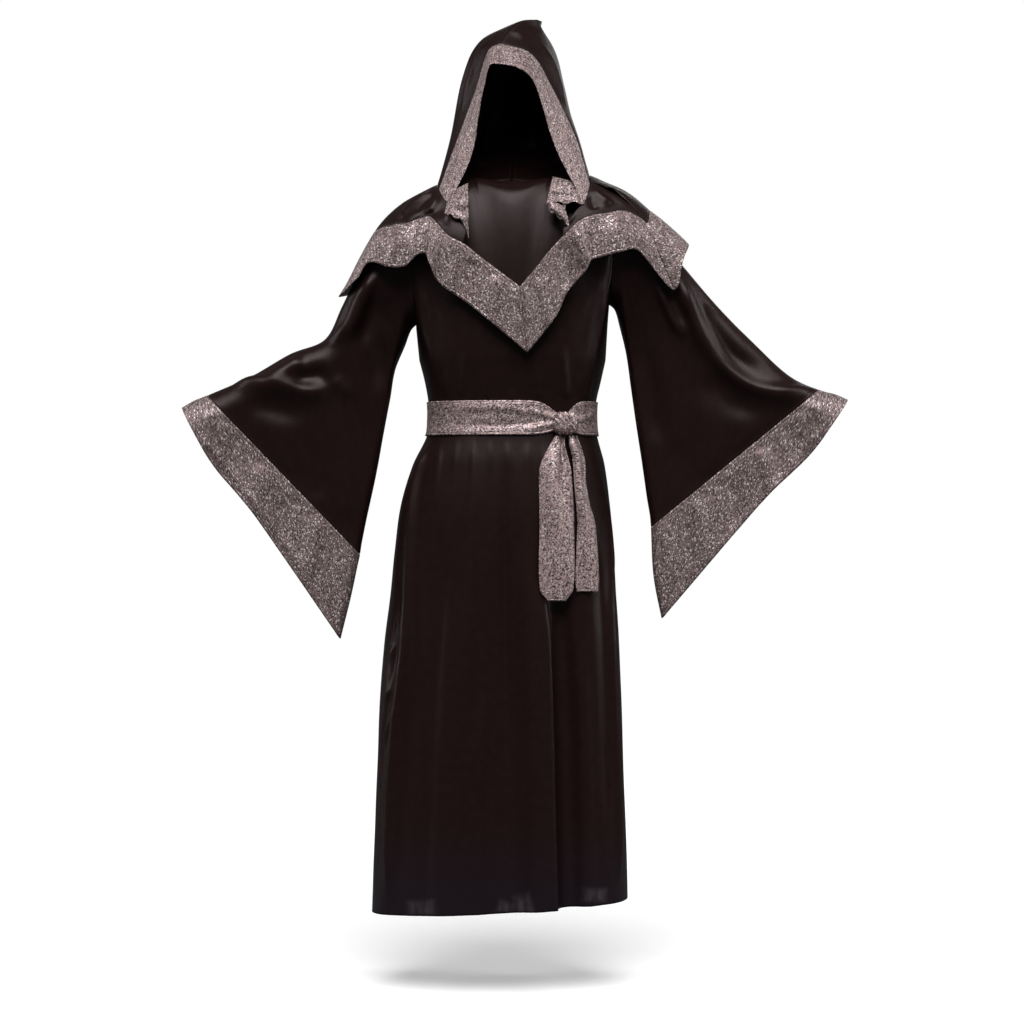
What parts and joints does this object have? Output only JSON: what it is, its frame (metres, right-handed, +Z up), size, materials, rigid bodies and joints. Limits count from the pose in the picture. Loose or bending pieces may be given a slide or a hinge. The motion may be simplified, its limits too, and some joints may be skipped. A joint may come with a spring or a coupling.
{
  "type": "hooded costume robe",
  "caption": "Long black satin robe with bell sleeves and silver cuff bands, a hooded shoulder cape with a silver hem band and a knotted silver sash, in the hollow form it has when worn.",
  "frame": {"origin": "at the base of the neck, midway between the shoulders, where the wearer carries the garment", "axes": "+Z up, front faces -Y, wearer's left at +X"},
  "size_m": [1.2748, 0.3246, 1.7304],
  "materials": {
    "black_satin": "black polyester satin with a soft sheen",
    "silver_knit": "silver glitter knit with dark and bright speckle"
  },
  "bodies": {
    "root": {"robe_front": "black_satin", "robe_back": "black_satin", "sleeve_right": "black_satin", "sleeve_left": "black_satin", "cuff_band_right": "silver_knit", "cuff_band_left": "silver_knit", "hood_right": "black_satin", "hood_left": "black_satin", "hood_band_right": "silver_knit", "hood_band_left": "silver_knit", "front_turn_right": "silver_knit", "front_turn_left_upper": "silver_knit", "front_turn_left_lower": "silver_knit", "cape_front_right": "black_satin", "cape_front_left": "black_satin", "cape_back_right": "black_satin", "cape_back_left": "black_satin", "cape_band_front_right": "silver_knit", "cape_band_front_left": "silver_knit", "cape_band_back_right": "silver_knit", "cape_band_back_left": "silver_knit", "sash_wrap": "silver_knit", "sash_knot": "silver_knit", "sash_tail_right": "silver_knit", "sash_tail_left": "silver_knit"}
  },
  "joints": []
}
